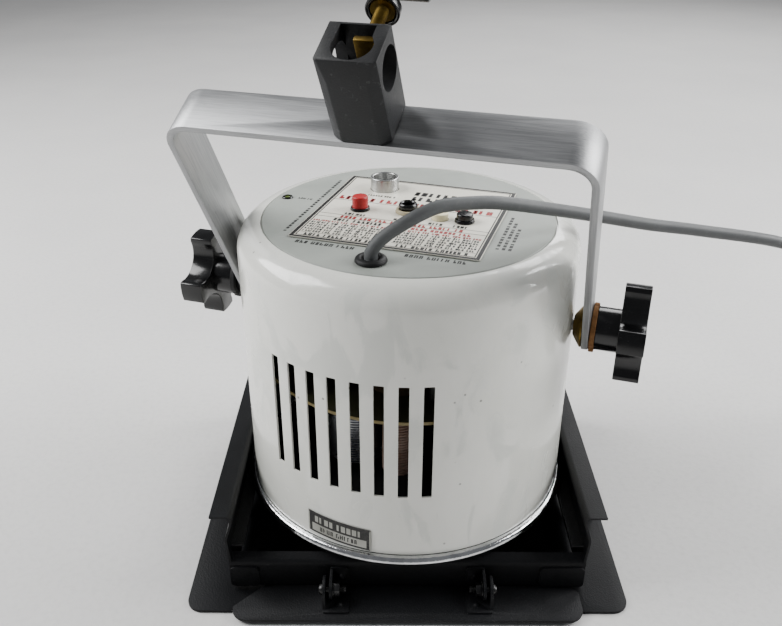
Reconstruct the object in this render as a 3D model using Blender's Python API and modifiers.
"""Studio flash head in a steel can, with U-yoke, stand clamp and four-leaf barn doors, standing face down."""

import math

import bmesh
import bpy
from mathutils import Matrix, Vector

# Sizes in metres. The head's own axis is Z; the table is z = 0.
FIT = 0.0003
HEAD_TURN = math.radians(-17.7)
YOKE_LEAN = math.radians(29.5)

CAN_R = 0.0890
CAN_WALL = 0.0010
CAN_FOOT = 0.0328
CAN_TOP = 0.1822
SHOULDER_R = 0.0131
PLATE_LIP_R = CAN_R - 0.0160
DISC_R = CAN_R - SHOULDER_R - 0.0002
SLOT_COUNT = 8
SLOT_PITCH = math.radians(7.52)
SLOT_START = math.radians(-29.4)
SLOT_WIDTH = 0.0050
SLOT_BOTTOM = 0.0696
SLOT_TOP = 0.1336

RIM_BEAD_R = CAN_R + 0.0010
RIM_BEAD_HALF = 0.0026
RIM_Z = 0.0299

PIVOT_Z = CAN_TOP - 0.0494
STUD_R = 0.0030
YOKE_IN_LEFT = -(CAN_R + 0.0015)
YOKE_IN_RIGHT = CAN_R + 0.0060
YOKE_THICK = 0.0034
YOKE_HALF_STRIP = 0.01205
YOKE_RISE = 0.1315
YOKE_BEND_R = 0.0135

BLOCK_U = (-0.0113, 0.0142)
BLOCK_HALF_V = 0.0121
BLOCK_HEIGHT = 0.0412
STUD_BORE_R = 0.0085
STUD_BORE_AT = (0.0020, -0.0008)
BOLT_U = 0.0029
CROSS_BORE_R = 0.0090
CROSS_BORE_V = 0.0020
CROSS_BORE_W = 0.1600
POCKET_U = (-0.0062, 0.0086)
POCKET_BACK = 0.0108
SCREW_U = 0.0041
SCREW_W = 0.1645
SCREW_R = 0.0028
COLLAR_R = 0.0074

KNOB_R = 0.0250
KNOB_HUB_R = 0.0113
KNOB_THICK = 0.0130
KNOB_FACE = CAN_R + 0.0236
KNOB_TURN_RIGHT = math.radians(-15)
KNOB_TURN_LEFT = math.radians(-8)

SHEET = 0.0012
WALL_FRONT = CAN_R - 0.0073
WALL_SIDE = CAN_R + 0.0038
WALL_FOOT = 0.0040
RING_TOP = 0.0498
LEAF_SHEET = 0.0015
EAR_REACH = 0.0098
EAR_R = 0.0052
LEAF_EAR_R = 0.0070
BOLT_R = 0.0019
LEAF_STEP = 0.0019
SEAM_X = 0.0050
MITRE_GAP = 0.0005
TAIL_CORNER = 0.0085

PANEL_W = DISC_R * 1.2602
PANEL_D = DISC_R * 1.2378
PANEL_THICK = 0.0004
CORD_R = 0.0032
COIL_MID_R = 0.0353
COIL_HALF = 0.0100
COIL_TALL = 0.0264
COIL_CENTRE = (0.3700, 0.0360)
PLUG_LONG = 0.0520
PLUG_R = 0.0150

BUTTON_R = 0.0042
TUBE_AT = (-0.0237, 0.0323)
TUBE_R = 0.0078
TUBE_BORE_R = 0.0063
RED_AT = (-0.0259, -0.0023)
JACK_AT = (-0.0010, 0.0018)
CREAM_AT = (0.0173, -0.0022)
BLACK_AT = (0.0301, -0.0022)
LAMP_AT = (-(CAN_R - 0.0191), 0.0037)
GROMMET_AT = (0.0003, -(CAN_R - 0.0278))

BOARD_Z = 0.1062
BOARD_THICK = 0.0016
BOARD_R = CAN_R - 0.0090
LAMP_TUBE_R = 0.0280

for old in list(bpy.data.objects):
    bpy.data.objects.remove(old, do_unlink=True)

parts = bpy.data.collections.new("flash_head")
cutters = bpy.data.collections.new("cutters")
bpy.context.scene.collection.children.link(parts)
bpy.context.scene.collection.children.link(cutters)
cutters.hide_render = True

WORLD = Matrix.Identity(4)
HEAD = Matrix.Rotation(HEAD_TURN, 4, "Z")
PIVOT = HEAD @ Matrix.Translation((0, 0, PIVOT_Z))
YOKE = PIVOT @ Matrix.Rotation(YOKE_LEAN, 4, "X")
ALONG_V = Matrix.Rotation(math.radians(-90), 4, "X")
EDGE_ON = Matrix(((0, 0, 1, 0), (1, 0, 0, 0), (0, 1, 0, 0), (0, 0, 0, 1)))


def material(name, color, metallic=0.0, roughness=0.5):
    shade = bpy.data.materials.new(name)
    shade.use_nodes = True
    principled = shade.node_tree.nodes["Principled BSDF"]
    principled.inputs["Base Color"].default_value = (*color, 1)
    principled.inputs["Metallic"].default_value = metallic
    principled.inputs["Roughness"].default_value = roughness
    return shade


def add(name, mesh, look=None, place=WORLD):
    """A mesh as a named piece when it has a look, or as a hidden cutter when it has none."""
    piece = bpy.data.objects.new(name, mesh)
    piece.matrix_world = place
    (parts if look else cutters).objects.link(piece)
    if look:
        mesh.materials.append(material(name, *look))
    else:
        piece.hide_render = True
        piece.display_type = "WIRE"
    return piece


def mesh_of(bm, name):
    mesh = bpy.data.meshes.new(name)
    bm.to_mesh(mesh)
    bm.free()
    return mesh


def boxes(name, spans, look=None, place=WORLD):
    """Each span is (x0, x1), (y0, y1), (z0, z1)."""
    bm = bmesh.new()
    for span in spans:
        made = bmesh.ops.create_cube(bm, size=1)
        for vert in made["verts"]:
            vert.co = [low + (c + 0.5) * (high - low) for c, (low, high) in zip(vert.co, span)]
    return add(name, mesh_of(bm, name), look, place)


def rods(name, ends, radius, steps=24, look=None, place=WORLD):
    """Straight round bars, each between two points."""
    bm = bmesh.new()
    for start, end in ends:
        start, end = Vector(start), Vector(end)
        turn = (end - start).to_track_quat("Z", "Y").to_matrix().to_4x4()
        bmesh.ops.create_cone(
            bm, cap_ends=True, segments=steps, radius1=radius, radius2=radius,
            depth=(end - start).length, matrix=Matrix.Translation((start + end) / 2) @ turn,
        )
    return add(name, mesh_of(bm, name), look, place)


def turned(name, profile, steps, look=None, place=WORLD, ring=False):
    """A solid turned about local Z from a profile of (radius, height), top to bottom on the outer side."""
    bm = bmesh.new()
    verts = [bm.verts.new((radius, 0, height)) for radius, height in profile]
    for first, second in zip(verts, verts[1:]):
        bm.edges.new((first, second))
    if ring:
        bm.edges.new((verts[-1], verts[0]))
    piece = add(name, mesh_of(bm, name), look, place)
    screw = piece.modifiers.new("turn", "SCREW")
    screw.axis = "Z"
    screw.angle = math.tau
    screw.steps = screw.render_steps = steps
    screw.use_merge_vertices = True
    screw.merge_threshold = 0.00001
    screw.use_smooth_shade = True
    return piece


def plate(name, outline, depth, look=None, place=WORLD):
    """A flat outline in local XY, filled and extruded equally above and below z = 0."""
    curve = bpy.data.curves.new(name, "CURVE")
    curve.dimensions = "2D"
    curve.fill_mode = "BOTH"
    curve.extrude = depth / 2
    spline = curve.splines.new("POLY")
    spline.points.add(len(outline) - 1)
    for point, (x, y) in zip(spline.points, outline):
        point.co = (x, y, 0, 1)
    spline.use_cyclic_u = True
    drawn = bpy.data.objects.new(name + "_outline", curve)
    parts.objects.link(drawn)
    depsgraph = bpy.context.evaluated_depsgraph_get()
    mesh = bpy.data.meshes.new_from_object(drawn.evaluated_get(depsgraph))
    bpy.data.objects.remove(drawn, do_unlink=True)
    bm = bmesh.new()
    bm.from_mesh(mesh)
    bmesh.ops.remove_doubles(bm, verts=bm.verts, dist=0.000001)
    bmesh.ops.recalc_face_normals(bm, faces=bm.faces)
    bm.to_mesh(mesh)
    bm.free()
    mesh.materials.clear()
    return add(name, mesh, look, place)


def sheet(name, profile, span, thickness, look=None, place=WORLD):
    """Sheet metal of even thickness: a profile in local XZ, carried along local Y over the span."""
    bm = bmesh.new()
    rows = [[bm.verts.new((x, y, z)) for y in span] for x, z in profile]
    for first, second in zip(rows, rows[1:]):
        bm.faces.new((first[0], second[0], second[1], first[1]))
    piece = add(name, mesh_of(bm, name), look, place)
    solid = piece.modifiers.new("thickness", "SOLIDIFY")
    solid.thickness = thickness
    solid.offset = 0
    solid.use_even_offset = True
    return piece


def change(piece, other, operation):
    step = piece.modifiers.new(other.name, "BOOLEAN")
    step.object = other
    step.operation = operation
    step.solver = "EXACT"
    return piece


def cut(piece, *others):
    for other in others:
        change(piece, other, "DIFFERENCE")
    return piece


def join(piece, *others):
    for other in others:
        change(piece, other, "UNION")
    return piece


def arc(centre, radius, start, end, steps):
    """Points on an arc, angles in degrees, both ends included."""
    angles = [math.radians(start + (end - start) * i / steps) for i in range(steps + 1)]
    return [(centre[0] + radius * math.cos(a), centre[1] + radius * math.sin(a)) for a in angles]


def rounded(half_x, half_y, radius, steps=4):
    corners = ((1, 1, 0), (-1, 1, 90), (-1, -1, 180), (1, -1, 270))
    points = []
    for sx, sy, start in corners:
        centre = (sx * (half_x - radius), sy * (half_y - radius))
        points += arc(centre, radius, start, start + 90, steps)
    return points


def at(xy, z=0.0):
    return HEAD @ Matrix.Translation((*xy, z))


WHITE = ((0.85, 0.85, 0.82), 0.0, 0.25)
GREY = ((0.36, 0.38, 0.36), 0.0, 0.5)
BLACK = ((0.02, 0.02, 0.02), 0.0, 0.45)
GLOSS_BLACK = ((0.012, 0.012, 0.012), 0.0, 0.2)
ALUMINIUM = ((0.75, 0.75, 0.75), 1.0, 0.35)
CHROME = ((0.85, 0.85, 0.85), 1.0, 0.12)
BRASS = ((0.55, 0.38, 0.14), 1.0, 0.35)
STEEL = ((0.5, 0.5, 0.5), 1.0, 0.4)


# The can: sheet steel, drawn with a rounded shoulder and an inward lip that carries the rear disc.
def make_can():
    shoulder_z = CAN_TOP - SHOULDER_R
    lip_z = CAN_TOP - 0.0012
    inner_top = lip_z - CAN_WALL
    inner_r = CAN_R - CAN_WALL
    turn_r = SHOULDER_R - CAN_WALL
    centre_r = CAN_R - SHOULDER_R
    profile = [(PLATE_LIP_R, lip_z), (centre_r + FIT, lip_z)]
    profile += arc((centre_r, shoulder_z), SHOULDER_R, 88, 0, 5)
    profile += [(CAN_R, CAN_FOOT), (inner_r, CAN_FOOT)]
    profile += arc((centre_r, inner_top - turn_r), turn_r, 0, 90, 4)
    profile += [(PLATE_LIP_R, inner_top)]
    can = turned("can_shell", profile, 64, WHITE, HEAD, ring=True)
    reach = (CAN_R * 0.8, CAN_R * 1.1)
    half = SLOT_WIDTH / 2
    for number in range(SLOT_COUNT):
        angle = SLOT_START + number * SLOT_PITCH
        place = HEAD @ Matrix.Rotation(angle - math.pi / 2, 4, "Z")
        span = [reach, (-half, half), (SLOT_BOTTOM, SLOT_TOP)]
        cut(can, boxes(f"slot_{number}", [span], place=place))
    holes = [((-reach[1], 0, 0), (-reach[0], 0, 0)), ((reach[0], 0, 0), (reach[1], 0, 0))]
    cut(can, rods("stud_holes", holes, STUD_R + FIT, 16, place=PIVOT))


def bead(radius, half, height, steps=10):
    return arc((radius, height), half, 90, -270 + 360 / steps, steps - 1)


# The polished front rim is a rolled bead below the can's edge; the bowl behind it is spun aluminium.
def make_front():
    turned("front_rim", bead(RIM_BEAD_R, RIM_BEAD_HALF, RIM_Z), 64, CHROME, HEAD, ring=True)
    bowl_r = RIM_BEAD_R - RIM_BEAD_HALF - FIT
    mouth_r, thin = 0.0225, 0.0010
    outer = [(bowl_r, 0.0310), (bowl_r - 0.0031, 0.0312), (bowl_r - 0.0071, 0.0370), (bowl_r - 0.0171, 0.0480)]
    outer += [(bowl_r - 0.0321, 0.0580), (bowl_r - 0.0471, 0.0635), (mouth_r, 0.0650)]
    inner = [(mouth_r, 0.0650 - thin), (bowl_r - 0.0471, 0.0635 - thin), (bowl_r - 0.0326, 0.0580 - thin)]
    inner += [(bowl_r - 0.0178, 0.0472), (bowl_r - 0.0080, 0.0364), (bowl_r - 0.0036, 0.0302), (bowl_r, 0.0300)]
    loop = outer[::-1] + inner[::-1]
    bowl = turned("reflector_bowl", loop, 36, ALUMINIUM, HEAD, ring=True)
    passage = [((*TUBE_AT, 0.040), (*TUBE_AT, 0.080))]
    cut(bowl, rods("tube_passage", passage, TUBE_R + FIT, 20, place=HEAD))

    base = turned("lamp_base", [(0.0135, 0.0640), (0.0220, 0.0640), (0.0220, 0.0590), (0.0135, 0.0590)],
                  28, ((0.8, 0.78, 0.7), 0.0, 0.6), HEAD, ring=True)
    legs = [((side * 0.0180, 0.0, 0.050), (side * 0.0180, 0.0, 0.070)) for side in (-1, 1)]
    cut(base, rods("tube_leg_holes", legs, 0.0018 + FIT, 12, place=HEAD))
    socket = [(0, 0.0880), (0.0120, 0.0880), (0.0120, 0.0660), (0, 0.0660)]
    turned("lamp_socket", socket, 28, ((0.75, 0.73, 0.66), 0.0, 0.6), HEAD)
    bulb = [(0, 0.0656), (0.0090, 0.0656), (0.0090, 0.0560), (0.0120, 0.0520), (0.0130, 0.0460)]
    bulb += [(0.0115, 0.0400), (0.0070, 0.0360), (0, 0.0345)]
    turned("modelling_lamp", bulb, 28, ((0.9, 0.9, 0.85), 0.0, 0.1), HEAD)
    make_flash_tube()


def tube(name, points, radius, look, resolution=2, place=WORLD):
    curve = bpy.data.curves.new(name, "CURVE")
    curve.dimensions = "3D"
    curve.bevel_depth = radius
    curve.bevel_resolution = resolution
    curve.use_fill_caps = True
    spline = curve.splines.new("POLY")
    spline.points.add(len(points) - 1)
    for point, spot in zip(spline.points, points):
        point.co = (*spot, 1)
    piece = bpy.data.objects.new(name, curve)
    piece.matrix_world = place
    parts.objects.link(piece)
    curve.materials.append(material(name, *look))
    weld = piece.modifiers.new("weld", "WELD")
    weld.merge_threshold = 0.00001
    return piece


def make_flash_tube():
    ring_r, ring_z = LAMP_TUBE_R, 0.0500
    points = []
    for number in range(25):
        angle = math.radians(-142 + 284 * number / 24)
        points.append((ring_r * math.sin(angle), ring_r * math.cos(angle), ring_z))
    leg = [(-0.0180, 0.0, 0.0625), (-0.0180, 0.0, 0.0570), (-0.0182, -0.0080, 0.0520)]
    points = leg + points + [(-x, y, z) for x, y, z in leg[::-1]]
    tube("flash_tube", points, 0.0016, ((0.9, 0.92, 0.92), 0.0, 0.05), 2, HEAD)


# What stands inside the can: a round board on three posts, capacitors above it, a choke and a resistor below.
def make_inside():
    board_top = BOARD_Z + BOARD_THICK
    profile = [(0, board_top), (BOARD_R, board_top), (BOARD_R, BOARD_Z), (0, BOARD_Z)]
    board = turned("circuit_board", profile, 44, ((0.55, 0.42, 0.18), 0.0, 0.5), HEAD)
    passage = [((*TUBE_AT, 0.090), (*TUBE_AT, 0.120))]
    cut(board, rods("board_passage", passage, TUBE_R + 2 * FIT, 20, place=HEAD))
    top = board_top + FIT
    post_r, post_out, post_top = 0.0030, 0.0600, CAN_TOP - 0.0014 - FIT
    for number, degrees in enumerate((160, 300, 40)):
        spot = (post_out * math.cos(math.radians(degrees)), post_out * math.sin(math.radians(degrees)))
        post = [(0, post_top), (post_r, post_top), (post_r, top), (0, top)]
        turned(f"board_post_{number + 1}", post, 12, STEEL, at(spot))
    radius, height = 0.0170, CAN_TOP - 0.0322
    for number, spot in enumerate(((-0.036, -0.022), (0.008, -0.040), (0.045, 0.000))):
        edge = 0.0015
        body = [(0, height), (radius - edge, height), (radius, height - edge), (radius, top), (0, top)]
        turned(f"capacitor_{number + 1}", body, 20, ((0.23, 0.16, 0.10), 0.0, 0.5), at(spot))
    choke_foot, resistor_foot = 0.0656, 0.0675
    turned("choke_coil", ribbed(0.0165, 0.0154, choke_foot, BOARD_Z - FIT, 6), 20, STEEL, at((-0.0132, -0.0473)))
    turned("ribbed_resistor", ribbed(0.0085, 0.0075, resistor_foot, BOARD_Z - FIT, 6), 16,
           ((0.50, 0.33, 0.27), 0.0, 0.6), at((0.014, -0.060)))


def ribbed(outer, inner, low, high, ribs):
    """A stepped profile from the axis at the top to the axis at the bottom."""
    pitch = (high - low) / ribs
    profile = [(0, high)]
    for number in range(ribs):
        z = high - number * pitch
        profile += [(outer, z), (outer, z - pitch * 0.6), (inner, z - pitch * 0.8)]
    return profile + [(inner, low), (0, low)]


# The rear disc and what is fixed in it.
def make_rear():
    top = CAN_TOP + 0.0001
    low = CAN_TOP - 0.0012 + FIT
    disc = turned("rear_disc", [(0, top), (DISC_R, top), (DISC_R, low), (0, low)], 56, GREY, HEAD)
    panel_z = top + FIT + PANEL_THICK / 2
    panel = plate("control_panel", rounded(PANEL_W / 2, PANEL_D / 2, 0.0008, 2), PANEL_THICK,
                  ((0.78, 0.76, 0.68), 0.0, 0.4), at((0, 0.0004), panel_z))
    face = panel_z + PANEL_THICK / 2
    holes = (("tube_hole", TUBE_AT, TUBE_R + FIT), ("red_hole", RED_AT, BUTTON_R + FIT),
             ("jack_hole", JACK_AT, 0.0040), ("cream_hole", CREAM_AT, BUTTON_R + FIT),
             ("black_hole", BLACK_AT, BUTTON_R + FIT))
    for name, spot, radius in holes:
        hole = rods(name, [((0, 0, low - 0.005), (0, 0, face + 0.005))], radius, 18, place=at(spot))
        cut(disc, hole)
        cut(panel, hole)
    for name, spot, radius in (("lamp_hole", LAMP_AT, 0.0023), ("grommet_hole", GROMMET_AT, 0.0062)):
        cut(disc, rods(name, [((0, 0, low - 0.005), (0, 0, face + 0.005))], radius, 18, place=at(spot)))

    inner, outer, foot, head = TUBE_BORE_R, TUBE_R, 0.0440, CAN_TOP + 0.0078
    tube_loop = [(inner, head), (outer - 0.0004, head), (outer, head - 0.0004), (outer, foot), (inner, foot)]
    turned("umbrella_tube", tube_loop, 28, CHROME, at(TUBE_AT), ring=True)
    make_button("red_button", RED_AT, CAN_TOP + 0.0084, ((0.62, 0.03, 0.03), 0.0, 0.35))
    make_button("cream_button", CREAM_AT, CAN_TOP + 0.0044, ((0.80, 0.76, 0.58), 0.0, 0.4))
    make_button("black_button", BLACK_AT, CAN_TOP + 0.0056, GLOSS_BLACK)
    for name, spot in (("red_collar", RED_AT), ("black_collar", BLACK_AT)):
        hole = BUTTON_R + FIT
        ring = [(hole, face + 0.0014), (0.0048, face + 0.0014), (0.0052, face + FIT), (hole, face + FIT)]
        turned(name, ring, 20, GLOSS_BLACK, at(spot), ring=True)
    make_jack(face)

    lens = [(0, top + 0.0006), (0.0014, top + 0.0004), (0.0020, top - 0.0002), (0.0020, low - 0.0030), (0, low - 0.0030)]
    turned("ready_lamp", lens, 20, ((0.05, 0.25, 0.12), 0.0, 0.2), at(LAMP_AT))
    neck, lip = 0.0059, 0.0078
    bore = CORD_R + FIT
    loop = [(bore, top), (bore + 0.0011, top + 0.0024), (0.0058, top + 0.0024), (0.0072, top + 0.0018)]
    loop += [(lip, top + FIT), (neck, top + FIT), (neck, low - FIT), (0.0074, low - FIT), (0.0070, low - 0.0025), (bore, low - 0.0025)]
    turned("cord_grommet", loop, 20, BLACK, at(GROMMET_AT), ring=True)


def make_button(name, spot, top, look):
    edge = 0.0006
    foot = CAN_TOP - 0.0090
    profile = [(0, top), (BUTTON_R - edge, top), (BUTTON_R, top - edge), (BUTTON_R, foot), (0, foot)]
    turned(name, profile, 20, look, at(spot))


def make_jack(face):
    bore = 0.0032
    base = [(0.0048, face + 0.0019), (0.0064, face + 0.0017), (0.0067, face + FIT), (0.0048, face + FIT)]
    turned("jack_base", base, 24, ((0.55, 0.48, 0.33), 0.0, 0.5), at(JACK_AT), ring=True)
    neck, lip = 0.0037, 0.00495
    top = face + 0.0052
    rim = face + FIT + 0.0019
    loop = [(bore, top - 0.0008), (0.0036, top), (0.0043, top - 0.0003), (lip, top - 0.0012), (lip, rim + 0.0006)]
    loop += [(0.0043, rim), (neck, rim), (neck, face - 0.0110), (bore, face - 0.0110)]
    turned("sync_jack", loop, 24, GLOSS_BLACK, at(JACK_AT), ring=True)


# A thin plate that follows the can's curve low on the front.
def make_serial_plate():
    half, tall, thick = 0.0178, 0.0132, 0.0003
    middle, height, slope = math.radians(-95.9), 0.0414, -0.060
    radius = CAN_R + FIT + thick / 2
    bm = bmesh.new()
    rows = []
    for number in range(9):
        along = -half + 2 * half * number / 8
        angle = middle + along / radius
        spot = (radius * math.cos(angle), radius * math.sin(angle))
        rows.append([bm.verts.new((*spot, height + slope * along + side * tall / 2)) for side in (-1, 1)])
    for first, second in zip(rows, rows[1:]):
        bm.faces.new((first[0], second[0], second[1], first[1]))
    piece = add("serial_plate", mesh_of(bm, "serial_plate"), ((0.5, 0.5, 0.48), 0.0, 0.4), HEAD)
    solid = piece.modifiers.new("thickness", "SOLIDIFY")
    solid.thickness = thick
    solid.offset = 0


# The yoke: flat aluminium strip with two bends and round ends, turning on a stud each side.
def make_yoke():
    half = YOKE_THICK / 2
    left, right, rise = YOKE_IN_LEFT - half, YOKE_IN_RIGHT + half, YOKE_RISE - half
    bend = YOKE_BEND_R - half
    foot = -0.0140
    profile = [(left, foot)] + arc((left + bend, rise - bend), bend, 180, 90, 6)
    profile += arc((right - bend, rise - bend), bend, 90, 0, 6) + [(right, foot)]
    strip = YOKE_HALF_STRIP
    yoke = sheet("yoke", profile, (-strip - 0.002, strip + 0.002), YOKE_THICK, ALUMINIUM, YOKE)
    outline = arc((0, 0), strip, 180, 360, 14) + [(strip, YOKE_RISE + 0.02), (-strip, YOKE_RISE + 0.02)]
    change(yoke, plate("yoke_edges", outline, 0.3, place=YOKE @ EDGE_ON), "INTERSECT")
    hole = STUD_R + FIT
    cut(yoke, rods("yoke_stud_holes", [((-0.12, 0, 0), (0.12, 0, 0))], hole, 20, place=YOKE))
    cut(yoke, rods("clamp_bolt_hole", [((BOLT_U, 0, rise - 0.01), (BOLT_U, 0, rise + 0.01))], hole, 20, place=YOKE))


# The stand clamp: a black block bolted on the yoke bar, with two stand bores and a T-handled screw.
def make_clamp():
    low, high = YOKE_RISE + FIT, YOKE_RISE + BLOCK_HEIGHT
    u0, u1 = BLOCK_U
    v = BLOCK_HALF_V
    block = boxes("clamp_block", [[(u0, u1), (-v, v), (low, high)]], BLACK, YOKE)
    slope_cut, depth, side = 0.0075, 0.0013, 0.0045
    spots = ((-v - 1e-4, high - slope_cut), (-v + depth, high + 1e-4), (-v - 0.01, high + 0.01))
    middle = YOKE @ Matrix.Translation(((u0 + u1) / 2, 0, 0))
    cut(block, plate("top_chamfer", spots, 0.06, place=middle @ EDGE_ON))
    for name, edge, way in (("left_chamfer", u0, 1), ("right_chamfer", u1, -1)):
        spots = ((edge + way * side, -v - 1e-4), (edge - way * 1e-4, -v + depth * 1.4), (edge - way * 0.01, -v - 0.01))
        cut(block, plate(name, spots, 0.12, place=YOKE @ Matrix.Translation((0, 0, high))))
    foot = CROSS_BORE_W - 0.0135
    up = [((*STUD_BORE_AT, foot), (*STUD_BORE_AT, high + 0.01))]
    across = [((u0 - 0.01, CROSS_BORE_V, CROSS_BORE_W), (u1 + 0.01, CROSS_BORE_V, CROSS_BORE_W))]
    cut(block, rods("stud_bore", up, STUD_BORE_R, 24, place=YOKE))
    cut(block, rods("cross_bore", across, CROSS_BORE_R, 24, place=YOKE))
    cut(block, boxes("pad_pocket", [[POCKET_U, (0, POCKET_BACK), (foot + 0.002, high + 0.01)]], place=YOKE))
    way_in = [((SCREW_U, 0.005, SCREW_W), (SCREW_U, 0.03, SCREW_W))]
    cut(block, rods("screw_hole", way_in, SCREW_R + FIT, 20, place=YOKE))
    thread = [((BOLT_U, 0, low - 0.01), (BOLT_U, 0, low + 0.008))]
    cut(block, rods("bolt_hole", thread, STUD_R, 20, place=YOKE))

    pad = [(SCREW_U - 0.0042, SCREW_U + 0.0042), (0.0050, 0.0078), (SCREW_W - 0.0060, SCREW_W + 0.0055)]
    boxes("pressure_pad", [pad], BRASS, YOKE)
    tip, face, back = 0.0078 + FIT, 0.0291, 0.0380
    along = YOKE @ Matrix.Translation((SCREW_U, 0, SCREW_W)) @ ALONG_V
    profile = [(0, back), (0.0048, back), (0.0058, back - 0.0045), (COLLAR_R - 0.0002, back - 0.0049)]
    profile += [(COLLAR_R, face), (0.0060, face), (0.0056, face + 0.0011), (SCREW_R, face + 0.0005), (SCREW_R, tip), (0, tip)]
    turned("clamp_screw", profile, 28, BRASS, along)
    t_r, t_half = 0.0034, 0.0170
    t_v = back + FIT + t_r
    t_bar = rods("clamp_t_bar", [((SCREW_U - t_half, t_v, SCREW_W), (SCREW_U + t_half, t_v, SCREW_W))],
                 t_r, 20, GLOSS_BLACK, YOKE)
    soften(t_bar, 0.0006, 2)
    bolt_top = YOKE_RISE - YOKE_THICK - FIT
    bolt = [(0, low + 0.0070), (STUD_R - FIT, low + 0.0070), (STUD_R - FIT, bolt_top), (0.0052, bolt_top)]
    bolt += [(0.0052, bolt_top - 0.0024), (0.0040, bolt_top - 0.0032), (0, bolt_top - 0.0032)]
    turned("clamp_bolt", bolt, 24, BLACK, YOKE @ Matrix.Translation((BOLT_U, 0, 0)))


def soften(piece, width, segments=1):
    bevel = piece.modifiers.new("edges", "BEVEL")
    bevel.width = width
    bevel.segments = segments
    bevel.limit_method = "ANGLE"
    bevel.angle_limit = math.radians(40)


# Each side: a stud from the can, spacer, yoke leg, fibre washer and a four-armed knob.
def make_side(name, way, leg_inner, leg_outer, knob_turn):
    def outward(place=PIVOT):
        return place @ Matrix.Rotation(math.radians(90 * way), 4, "Y")

    end = KNOB_FACE + 0.0040
    start = CAN_R - CAN_WALL - 0.0006
    stud = [(0, end), (STUD_R, end), (STUD_R, start), (0.0055, start), (0.0055, start - 0.0030), (0, start - 0.0030)]
    turned(f"pivot_stud_{name}", stud, 20, STEEL, outward())
    hole = STUD_R + FIT
    hub_low = KNOB_FACE - 0.0117
    if way > 0:
        cone = [(hole, leg_inner - FIT), (0.0112, leg_inner - FIT), (0.0112, leg_inner - 0.0012),
                (0.0052, CAN_R + 0.0006), (hole, CAN_R + 0.0006)]
        turned(f"spacer_{name}", cone, 28, BRASS, outward(), ring=True)
        washer_low = leg_outer + FIT
    else:
        thin = [(hole, leg_inner - FIT), (0.0080, leg_inner - FIT), (0.0080, leg_inner - 0.0011), (hole, leg_inner - 0.0011)]
        turned(f"washer_{name}", thin, 28, BLACK, outward(), ring=True)
        washer_low = hub_low - FIT - 0.0020
        cone = [(hole, washer_low - FIT), (0.0100, washer_low - FIT), (0.0112, leg_outer + 0.0015),
                (0.0112, leg_outer + FIT), (hole, leg_outer + FIT)]
        turned(f"spacer_{name}", cone, 28, BRASS, outward(), ring=True)
    washer_high = hub_low - FIT
    loop = [(hole, washer_high), (0.0122, washer_high), (0.0122, washer_low), (hole, washer_low)]
    turned(f"fibre_washer_{name}", loop, 28, ((0.35, 0.19, 0.09), 0.0, 0.8), outward(), ring=True)

    star = rods(f"knob_{name}", [((0, 0, KNOB_FACE), (0, 0, KNOB_FACE + KNOB_THICK))], KNOB_R, 48, GLOSS_BLACK, outward())
    valleys = []
    for number in range(4):
        angle = knob_turn + math.radians(45 + 90 * number)
        spot = (0.0255 * math.cos(angle), 0.0255 * math.sin(angle))
        valleys.append(((*spot, 0.09), (*spot, 0.15)))
    cut(star, rods(f"valleys_{name}", valleys, 0.0125, 24, place=outward()))
    hub = rods(f"hub_{name}", [((0, 0, hub_low), (0, 0, KNOB_FACE + 0.001))], KNOB_HUB_R, 32, place=outward())
    join(star, hub)
    cut(star, rods(f"knob_bore_{name}", [((0, 0, hub_low - 0.01), (0, 0, end + FIT))], hole, 20, place=outward()))


# Barn doors: folded sheet steel. Each side has two pairs of ears; a leaf turns on the bolts through them.
# Turn about Z, wall distance, ear inset, half width of the leaf, its tail's distance and its height.
END_LEAF = (WALL_FRONT, 0.03975, WALL_SIDE - 0.0024, WALL_FRONT + 0.0232, LEAF_STEP)
SIDE_LEAF = (WALL_SIDE + SHEET / 2, 0.0220, WALL_FRONT + 0.0153, WALL_SIDE + 0.0223, 0.0)
SIDES = {"front": (0, *END_LEAF), "right": (90, *SIDE_LEAF), "back": (180, *END_LEAF), "left": (270, *SIDE_LEAF)}
EAR_RISE = 0.0093
EAR_SHEET = 0.0015
EAR_APART = 0.0033


def side_place(side):
    return Matrix.Rotation(math.radians(SIDES[side][0]), 4, "Z")


def pivot_of(side):
    """The hinge line's distance from the middle, and its height."""
    return SIDES[side][1] + EAR_REACH, SIDES[side][5] + EAR_RISE


def ear(name, x0, x1, radius, foot, reach, place):
    """A sheet ear between x0 and x1: round about the hinge line, with a straight part to its root."""
    y, z = reach
    near, low = foot
    half = radius - 0.0001
    round_end = rods(name + "_end", [((x0, -y, z), (x1, -y, z))], radius, 16, place=place)
    if near is not None:
        span = [(x0 + 1e-5, x1 - 1e-5), (-y, near), (z - half, z + half)]
    else:
        span = [(x0 + 1e-5, x1 - 1e-5), (-y - half, -y + half), (low, z)]
    return round_end, boxes(name + "_web", [span], place=place)


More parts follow.
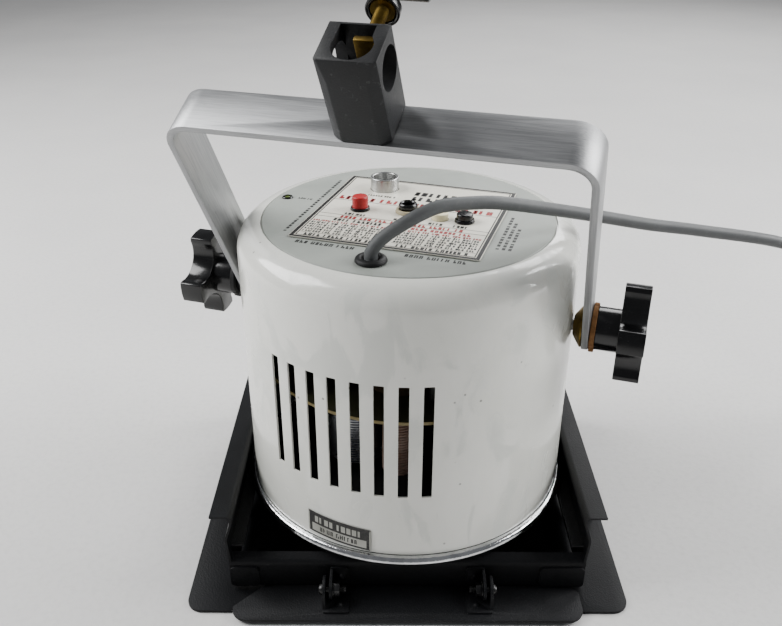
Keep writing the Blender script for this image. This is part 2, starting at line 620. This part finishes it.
def make_barn_frame():
    look = ((0.02, 0.021, 0.023), 0.0, 0.55)
    top, wall = RING_TOP, WALL_SIDE
    kinked = [(wall + 0.0084, top), (wall - 0.0016, top), (wall - 0.0024, top - 0.0038)]
    kinked += [(wall + 0.0012, top - 0.0148), (wall, 0.0210), (wall, WALL_FOOT)]
    span = (-WALL_FRONT + 0.0002, WALL_FRONT - 0.0002)
    frame = sheet("barn_frame", kinked, span, SHEET, look, WORLD)
    mirrored = [(-x, z) for x, z in kinked]
    join(frame, sheet("left_wall", mirrored, span, SHEET))
    middle = WALL_FRONT - SHEET / 2
    lip = [(middle, WALL_FOOT), (middle, 0.0198), (middle - 0.0046, 0.0227)]
    across = (-WALL_SIDE, WALL_SIDE)
    for name, turn in (("front_wall", -90), ("back_wall", 90)):
        join(frame, sheet(name, lip, across, SHEET, place=Matrix.Rotation(math.radians(turn), 4, "Z")))
    ledge_z = (RIM_Z - RIM_BEAD_HALF - FIT - SHEET, RIM_Z - RIM_BEAD_HALF - FIT)
    reach, along = (CAN_R - 0.0030, WALL_SIDE + 0.0004), (-WALL_FRONT + 0.0057, WALL_FRONT - 0.0057)
    ledges = [[reach, along, ledge_z], [(-reach[1], -reach[0]), along, ledge_z]]
    join(frame, boxes("ledges", ledges))
    tabs = []
    for way in (1, -1):
        wide = 0.0232 if way > 0 else 0.0148
        tab_x = sorted((way * (WALL_SIDE + 0.0003), way * (WALL_SIDE - wide)))
        for face in (1, -1):
            tab_y = sorted((face * (WALL_FRONT + SHEET), face * (WALL_FRONT - 0.0005)))
            tabs.append([tab_x, tab_y, (WALL_FOOT + 0.0003, 0.0172)])
    join(frame, boxes("corner_tabs", tabs))
    for side in SIDES:
        wall, inset = SIDES[side][1], SIDES[side][2]
        pivot = pivot_of(side)
        for number, way in enumerate((-1, 1)):
            x0, x1 = sorted((way * (inset - EAR_SHEET / 2), way * (inset + EAR_SHEET / 2)))
            label = f"{side}_ear_{number}"
            join(frame, *ear(label, x0, x1, EAR_R, (-wall + 0.0006, None), pivot, side_place(side)))
            flange = sorted((way * (inset + EAR_SHEET / 2 - 1e-4), way * (inset - 0.0090)))
            rows = [[flange, (-wall - 0.0011, -wall + 0.0004), (pivot[1] - EAR_R + 0.0006, pivot[1] + EAR_R + 0.0008)]]
            join(frame, boxes(label + "_flange", rows, place=side_place(side)))
    for side in SIDES:
        cut(frame, hinge_holes(side, "frame"))


def hinge_holes(side, use):
    y, z = pivot_of(side)
    return rods(f"{side}_{use}_holes", [((-0.06, -y, z), (0.06, -y, z))], BOLT_R + FIT, 12, place=side_place(side))


def leaf_outline(side):
    """Outline in the side's own frame: the tail is at -y, and 45 degree mitres meet at the seam point."""
    turn, _, _, half, tail, step = SIDES[side]
    apex = Matrix.Rotation(-math.radians(turn), 2) @ Vector((SEAM_X, 0))
    x, y = apex.x, apex.y - MITRE_GAP
    outline = arc((-half + TAIL_CORNER, -tail + TAIL_CORNER), TAIL_CORNER, 180, 270, 5)
    outline += arc((half - TAIL_CORNER, -tail + TAIL_CORNER), TAIL_CORNER, 270, 360, 5)
    if step:
        return outline + [(half, y - (half - x)), (x, y), (-half, y - (half + x))]
    bound = SIDES["front"][3] + 2 * FIT
    reach = bound + y
    return outline + [(half, -bound), (reach, -bound), (x, y), (-reach, -bound), (-half, -bound)]


def make_leaf(side):
    step = SIDES[side][5]
    inset = SIDES[side][2]
    place = side_place(side)
    y, z = pivot_of(side)
    look = ((0.02, 0.021, 0.023), 0.0, 0.55)
    leaf = plate(f"leaf_{side}", leaf_outline(side), LEAF_SHEET, look, place @ Matrix.Translation((0, 0, step + LEAF_SHEET / 2)))
    top = step + LEAF_SHEET
    for number, way in enumerate((-1, 1)):
        outer = inset + EAR_APART
        x0, x1 = sorted((way * (outer - 0.0007), way * (outer + 0.0007)))
        label = f"{side}_leaf_ear_{number}"
        join(leaf, *ear(label, x0, x1, LEAF_EAR_R, (None, top - 0.0005), (y, z), place))
        foot = sorted((way * (outer + 0.0006), way * (outer - 0.0125)))
        span = [[foot, (-y - 0.0093, -y + 0.0055), (top - 0.0005, top + 0.0012)]]
        join(leaf, boxes(label + "_foot", span, place=place))
    cut(leaf, hinge_holes(side, "leaf"))


def make_hinge_bolts(side):
    inset = SIDES[side][2]
    y, z = pivot_of(side)
    for number, way in enumerate((-1, 1)):
        head = inset + EAR_APART + 0.0007 + FIT
        nut = inset - EAR_SHEET / 2 - FIT
        washer = 0.0006
        profile = [(0, head + 0.0022), (0.0024, head + 0.0022), (0.0031, head + 0.0012), (0.0031, head), (BOLT_R, head)]
        profile += [(BOLT_R, nut), (0.0041, nut), (0.0041, nut - washer), (0.0034, nut - washer)]
        profile += [(0.0034, nut - washer - 0.0030), (BOLT_R, nut - washer - 0.0032)]
        profile += [(BOLT_R, nut - 0.0068), (0, nut - 0.0068)]
        place = side_place(side) @ Matrix.Translation((0, -y, z)) @ Matrix.Rotation(math.radians(90 * way), 4, "Y")
        turned(f"hinge_bolt_{side}_{number + 1}", profile, 10, STEEL, place)


# The mains cord: steps from the grommet's centre with heights above the can, then places down to the coil.
OVER_HEAD = (
    (0.0, 0.0, -0.0077), (0.0, 0.0, -0.0022), (0.0, 0.0, 0.0044), (0.0023, 0.0003, 0.0084),
    (0.0071, 0.0014, 0.0126), (0.0138, 0.0024, 0.0170), (0.0223, 0.0044, 0.0213), (0.0317, 0.0084, 0.0238),
    (0.0458, 0.0144, 0.0231), (0.0604, 0.0204, 0.0209), (0.0865, 0.0324, 0.0133), (0.1142, 0.0444, 0.0048),
    (0.1432, 0.0544, -0.0035), (0.1726, 0.0624, -0.0100), (0.2230, 0.0734, -0.0217),
)
DOWN_TO_COIL = (
    (0.2400, 0.0230, 0.1440), (0.2650, 0.0320, 0.1180), (0.2820, 0.0440, 0.0870), (0.2960, 0.0570, 0.0590),
    (0.3110, 0.0680, 0.0400), (0.3300, 0.0750, 0.0300),
)


def smooth(points, spacing):
    """Points at even spacing along a rounded curve through the given ones."""
    path = [Vector(point) for point in points]
    fine = []
    for number in range(len(path) - 1):
        before, start = path[max(number - 1, 0)], path[number]
        end, after = path[number + 1], path[min(number + 2, len(path) - 1)]
        for step in range(12):
            t = step / 12
            fine.append(0.5 * (2 * start + (end - before) * t + (2 * before - 5 * start + 4 * end - after) * t ** 2
                               + (3 * start - before - 3 * end + after) * t ** 3))
    fine.append(path[-1])
    lengths = [0.0]
    for first, second in zip(fine, fine[1:]):
        lengths.append(lengths[-1] + (second - first).length)
    count = round(lengths[-1] / spacing)
    result, index = [], 0
    for number in range(count + 1):
        want = lengths[-1] * number / count
        while index < len(fine) - 2 and lengths[index + 1] < want:
            index += 1
        share = (want - lengths[index]) / (lengths[index + 1] - lengths[index])
        result.append(tuple(fine[index].lerp(fine[index + 1], min(share, 1.0))))
    return result


def make_cord():
    look = ((0.13, 0.135, 0.14), 0.0, 0.55)
    start = HEAD @ Vector((*GROMMET_AT, CAN_TOP))
    route = [start + Vector(step) for step in OVER_HEAD] + list(DOWN_TO_COIL)
    tube("mains_cord", smooth(route, 0.0080), CORD_R, look, 2)
    x, y = COIL_CENTRE
    wide, tall = COIL_HALF, COIL_TALL
    section = [(COIL_MID_R + dx, z) for dx, z in (
        (-wide + 0.004, tall), (wide - 0.004, tall), (wide, tall - 0.004), (wide, 0.004),
        (wide - 0.004, 0.0), (-wide + 0.004, 0.0), (-wide, 0.004), (-wide, tall - 0.004))]
    turned("cord_coil", section, 32, look, Matrix.Translation((x, y, 0)), ring=True)
    edge = y - COIL_MID_R - wide
    end = PLUG_LONG
    body = [(0, end), (PLUG_R - 0.0040, end), (PLUG_R - 0.0005, end - 0.0040), (PLUG_R, 0.0300), (0.0105, 0.0190)]
    body += [(0.0052, 0.0160), (0.0046, 0.0), (0, 0.0)]
    place = Matrix.Translation((x + COIL_MID_R + COIL_HALF - CORD_R, edge - 0.0008, PLUG_R)) @ Matrix.Rotation(math.radians(90), 4, "X")
    plug = turned("mains_plug", body, 28, BLACK, place)
    prongs = [[(side * 0.0064 - 0.0008, side * 0.0064 + 0.0008), (-0.0032, 0.0032), (end - 0.0020, end + 0.0170)] for side in (-1, 1)]
    join(plug, boxes("prongs", prongs, place=place))
    join(plug, rods("earth_pin", [((0, -0.0085, end - 0.0020), (0, -0.0085, end + 0.0200))], 0.0023, 16, place=place))


make_can()
make_front()
make_inside()
make_rear()
make_serial_plate()
make_yoke()
make_clamp()
make_side("right", 1, YOKE_IN_RIGHT, YOKE_IN_RIGHT + YOKE_THICK, KNOB_TURN_RIGHT)
make_side("left", -1, -YOKE_IN_LEFT, -YOKE_IN_LEFT + YOKE_THICK, KNOB_TURN_LEFT)
make_barn_frame()
for door in SIDES:
    make_leaf(door)
    make_hinge_bolts(door)
make_cord()
